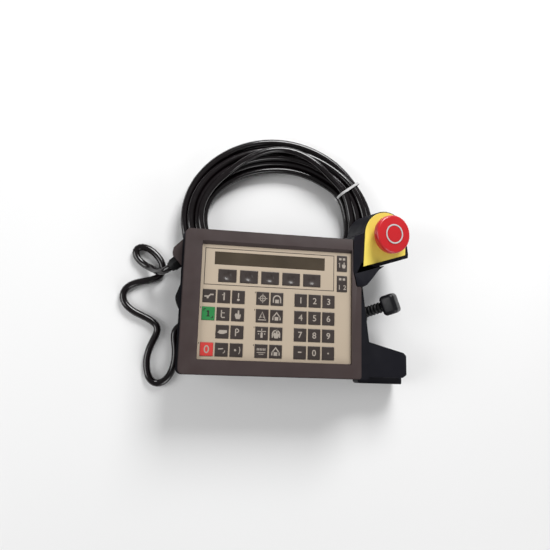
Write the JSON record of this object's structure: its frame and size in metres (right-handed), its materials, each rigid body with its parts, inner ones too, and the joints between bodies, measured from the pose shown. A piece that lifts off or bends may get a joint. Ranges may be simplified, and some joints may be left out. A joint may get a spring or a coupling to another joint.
{
  "type": "pendant control station",
  "caption": "Hand-held machine operating panel with a keypad, a two-line display, an emergency stop, a leaning joystick behind a guard foot, an enabling pad and a coiled cord.",
  "frame": {"origin": "centre of the grip block's flat back face, on which the station lies", "axes": "+Z out of the panel, +Y towards the panel's top edge, +X towards the joystick"},
  "size_m": [0.4114, 0.3768, 0.1006],
  "materials": {
    "case": "fine moulded grain",
    "bezel": "satin",
    "screws": "zinc plated",
    "overlay": "satin film",
    "board": "solder mask",
    "window": "clear tinted",
    "module": "plain",
    "badge": "satin",
    "collar": "satin",
    "estop_red": "satin",
    "contacts": "plain",
    "base": "plain",
    "metal": "turned",
    "boot": "matt",
    "knob": "matt",
    "pad": "matt",
    "gland": "plain",
    "cord": "glossy sheath",
    "plug": "satin",
    "key": "satin",
    "key_green": "satin",
    "key_red": "satin"
  },
  "bodies": {
    "housing": {"rear_case": "case", "front_bezel": "bezel", "case_screws": "screws", "keypad_overlay": "overlay", "keypad_switches": "board", "display_window": "window", "display_module": "module", "main_board": "board", "estop_badge": "badge", "estop_collar": "collar", "estop_contacts": "contacts", "joystick_base": "base", "cable_gland": "gland", "cord_lead": "cord", "cord_coil": "cord", "cord_plug": "plug"},
    "enable_pad": {"enable_pad": "pad"},
    "estop_head": {"estop_head": "estop_red"},
    "joystick_yoke": {"joystick_yoke": "metal"},
    "joystick_stick": {"joystick_stick": "metal", "joystick_boot": "boot"},
    "joystick_knob": {"joystick_knob": "knob"},
    "key_left_11": {"key_left_11": "key"},
    "key_left_12": {"key_left_12": "key"},
    "key_left_13": {"key_left_13": "key"},
    "key_left_21": {"key_left_21": "key_green"},
    "key_left_22": {"key_left_22": "key"},
    "key_left_23": {"key_left_23": "key"},
    "key_left_32": {"key_left_32": "key"},
    "key_left_33": {"key_left_33": "key"},
    "key_left_41": {"key_left_41": "key_red"},
    "key_left_42": {"key_left_42": "key"},
    "key_left_43": {"key_left_43": "key"},
    "key_middle_11": {"key_middle_11": "key"},
    "key_middle_12": {"key_middle_12": "key"},
    "key_middle_21": {"key_middle_21": "key"},
    "key_middle_22": {"key_middle_22": "key"},
    "key_middle_31": {"key_middle_31": "key"},
    "key_middle_32": {"key_middle_32": "key"},
    "key_middle_41": {"key_middle_41": "key"},
    "key_middle_42": {"key_middle_42": "key"},
    "key_digit_0": {"key_digit_0": "key"},
    "key_digit_1": {"key_digit_1": "key"},
    "key_digit_2": {"key_digit_2": "key"},
    "key_digit_3": {"key_digit_3": "key"},
    "key_digit_4": {"key_digit_4": "key"},
    "key_digit_5": {"key_digit_5": "key"},
    "key_digit_6": {"key_digit_6": "key"},
    "key_digit_7": {"key_digit_7": "key"},
    "key_digit_8": {"key_digit_8": "key"},
    "key_digit_9": {"key_digit_9": "key"},
    "key_minus": {"key_minus": "key"},
    "key_point": {"key_point": "key"},
    "key_soft_1": {"key_soft_1": "key"},
    "key_soft_2": {"key_soft_2": "key"},
    "key_soft_3": {"key_soft_3": "key"},
    "key_soft_4": {"key_soft_4": "key"},
    "key_soft_5": {"key_soft_5": "key"},
    "key_tall_1": {"key_tall_1": "key"},
    "key_tall_2": {"key_tall_2": "key"}
  },
  "joints": [
    {"name": "enable_press", "type": "slide", "parent": "housing", "child": "enable_pad", "axis": [1, 0, 0], "range_m": [0, 0.003], "stiffness_N_per_m": 2000},
    {"name": "estop_push", "type": "slide", "parent": "housing", "child": "estop_head", "axis": [-0.2154, 0.0958, -0.9718], "range_m": [0, 0.005]},
    {"name": "joystick_pitch", "type": "hinge", "parent": "housing", "child": "joystick_yoke", "pos_m": [0.09985, 0.045, 0.026], "axis": [-0.342, 0.9397, 0], "range_deg": [-12, 12], "stiffness_Nm_per_rad": 3},
    {"name": "joystick_roll", "type": "hinge", "parent": "joystick_yoke", "child": "joystick_stick", "pos_m": [0.09985, 0.045, 0.026], "axis": [0.604, 0.2198, -0.766], "range_deg": [-12, 12], "stiffness_Nm_per_rad": 3},
    {"name": "joystick_twist", "type": "hinge", "parent": "joystick_stick", "child": "joystick_knob", "pos_m": [0.09985, 0.045, 0.026], "axis": [0.7198, 0.262, 0.6428], "range_deg": [-20, 20], "stiffness_Nm_per_rad": 0.3},
    {"name": "key_left_11_press", "type": "slide", "parent": "housing", "child": "key_left_11", "axis": [0, 0, -1], "range_m": [0, 0.0006], "stiffness_N_per_m": 3000},
    {"name": "key_left_12_press", "type": "slide", "parent": "housing", "child": "key_left_12", "axis": [0, 0, -1], "range_m": [0, 0.0006], "stiffness_N_per_m": 3000},
    {"name": "key_left_13_press", "type": "slide", "parent": "housing", "child": "key_left_13", "axis": [0, 0, -1], "range_m": [0, 0.0006], "stiffness_N_per_m": 3000},
    {"name": "key_left_21_press", "type": "slide", "parent": "housing", "child": "key_left_21", "axis": [0, 0, -1], "range_m": [0, 0.0006], "stiffness_N_per_m": 3000},
    {"name": "key_left_22_press", "type": "slide", "parent": "housing", "child": "key_left_22", "axis": [0, 0, -1], "range_m": [0, 0.0006], "stiffness_N_per_m": 3000},
    {"name": "key_left_23_press", "type": "slide", "parent": "housing", "child": "key_left_23", "axis": [0, 0, -1], "range_m": [0, 0.0006], "stiffness_N_per_m": 3000},
    {"name": "key_left_32_press", "type": "slide", "parent": "housing", "child": "key_left_32", "axis": [0, 0, -1], "range_m": [0, 0.0006], "stiffness_N_per_m": 3000},
    {"name": "key_left_33_press", "type": "slide", "parent": "housing", "child": "key_left_33", "axis": [0, 0, -1], "range_m": [0, 0.0006], "stiffness_N_per_m": 3000},
    {"name": "key_left_41_press", "type": "slide", "parent": "housing", "child": "key_left_41", "axis": [0, 0, -1], "range_m": [0, 0.0006], "stiffness_N_per_m": 3000},
    {"name": "key_left_42_press", "type": "slide", "parent": "housing", "child": "key_left_42", "axis": [0, 0, -1], "range_m": [0, 0.0006], "stiffness_N_per_m": 3000},
    {"name": "key_left_43_press", "type": "slide", "parent": "housing", "child": "key_left_43", "axis": [0, 0, -1], "range_m": [0, 0.0006], "stiffness_N_per_m": 3000},
    {"name": "key_middle_11_press", "type": "slide", "parent": "housing", "child": "key_middle_11", "axis": [0, 0, -1], "range_m": [0, 0.0006], "stiffness_N_per_m": 3000},
    {"name": "key_middle_12_press", "type": "slide", "parent": "housing", "child": "key_middle_12", "axis": [0, 0, -1], "range_m": [0, 0.0006], "stiffness_N_per_m": 3000},
    {"name": "key_middle_21_press", "type": "slide", "parent": "housing", "child": "key_middle_21", "axis": [0, 0, -1], "range_m": [0, 0.0006], "stiffness_N_per_m": 3000},
    {"name": "key_middle_22_press", "type": "slide", "parent": "housing", "child": "key_middle_22", "axis": [0, 0, -1], "range_m": [0, 0.0006], "stiffness_N_per_m": 3000},
    {"name": "key_middle_31_press", "type": "slide", "parent": "housing", "child": "key_middle_31", "axis": [0, 0, -1], "range_m": [0, 0.0006], "stiffness_N_per_m": 3000},
    {"name": "key_middle_32_press", "type": "slide", "parent": "housing", "child": "key_middle_32", "axis": [0, 0, -1], "range_m": [0, 0.0006], "stiffness_N_per_m": 3000},
    {"name": "key_middle_41_press", "type": "slide", "parent": "housing", "child": "key_middle_41", "axis": [0, 0, -1], "range_m": [0, 0.0006], "stiffness_N_per_m": 3000},
    {"name": "key_middle_42_press", "type": "slide", "parent": "housing", "child": "key_middle_42", "axis": [0, 0, -1], "range_m": [0, 0.0006], "stiffness_N_per_m": 3000},
    {"name": "key_digit_0_press", "type": "slide", "parent": "housing", "child": "key_digit_0", "axis": [0, 0, -1], "range_m": [0, 0.0006], "stiffness_N_per_m": 3000},
    {"name": "key_digit_1_press", "type": "slide", "parent": "housing", "child": "key_digit_1", "axis": [0, 0, -1], "range_m": [0, 0.0006], "stiffness_N_per_m": 3000},
    {"name": "key_digit_2_press", "type": "slide", "parent": "housing", "child": "key_digit_2", "axis": [0, 0, -1], "range_m": [0, 0.0006], "stiffness_N_per_m": 3000},
    {"name": "key_digit_3_press", "type": "slide", "parent": "housing", "child": "key_digit_3", "axis": [0, 0, -1], "range_m": [0, 0.0006], "stiffness_N_per_m": 3000},
    {"name": "key_digit_4_press", "type": "slide", "parent": "housing", "child": "key_digit_4", "axis": [0, 0, -1], "range_m": [0, 0.0006], "stiffness_N_per_m": 3000},
    {"name": "key_digit_5_press", "type": "slide", "parent": "housing", "child": "key_digit_5", "axis": [0, 0, -1], "range_m": [0, 0.0006], "stiffness_N_per_m": 3000},
    {"name": "key_digit_6_press", "type": "slide", "parent": "housing", "child": "key_digit_6", "axis": [0, 0, -1], "range_m": [0, 0.0006], "stiffness_N_per_m": 3000},
    {"name": "key_digit_7_press", "type": "slide", "parent": "housing", "child": "key_digit_7", "axis": [0, 0, -1], "range_m": [0, 0.0006], "stiffness_N_per_m": 3000},
    {"name": "key_digit_8_press", "type": "slide", "parent": "housing", "child": "key_digit_8", "axis": [0, 0, -1], "range_m": [0, 0.0006], "stiffness_N_per_m": 3000},
    {"name": "key_digit_9_press", "type": "slide", "parent": "housing", "child": "key_digit_9", "axis": [0, 0, -1], "range_m": [0, 0.0006], "stiffness_N_per_m": 3000},
    {"name": "key_minus_press", "type": "slide", "parent": "housing", "child": "key_minus", "axis": [0, 0, -1], "range_m": [0, 0.0006], "stiffness_N_per_m": 3000},
    {"name": "key_point_press", "type": "slide", "parent": "housing", "child": "key_point", "axis": [0, 0, -1], "range_m": [0, 0.0006], "stiffness_N_per_m": 3000},
    {"name": "key_soft_1_press", "type": "slide", "parent": "housing", "child": "key_soft_1", "axis": [0, 0, -1], "range_m": [0, 0.0006], "stiffness_N_per_m": 3000},
    {"name": "key_soft_2_press", "type": "slide", "parent": "housing", "child": "key_soft_2", "axis": [0, 0, -1], "range_m": [0, 0.0006], "stiffness_N_per_m": 3000},
    {"name": "key_soft_3_press", "type": "slide", "parent": "housing", "child": "key_soft_3", "axis": [0, 0, -1], "range_m": [0, 0.0006], "stiffness_N_per_m": 3000},
    {"name": "key_soft_4_press", "type": "slide", "parent": "housing", "child": "key_soft_4", "axis": [0, 0, -1], "range_m": [0, 0.0006], "stiffness_N_per_m": 3000},
    {"name": "key_soft_5_press", "type": "slide", "parent": "housing", "child": "key_soft_5", "axis": [0, 0, -1], "range_m": [0, 0.0006], "stiffness_N_per_m": 3000},
    {"name": "key_tall_1_press", "type": "slide", "parent": "housing", "child": "key_tall_1", "axis": [0, 0, -1], "range_m": [0, 0.0006], "stiffness_N_per_m": 3000},
    {"name": "key_tall_2_press", "type": "slide", "parent": "housing", "child": "key_tall_2", "axis": [0, 0, -1], "range_m": [0, 0.0006], "stiffness_N_per_m": 3000}
  ]
}
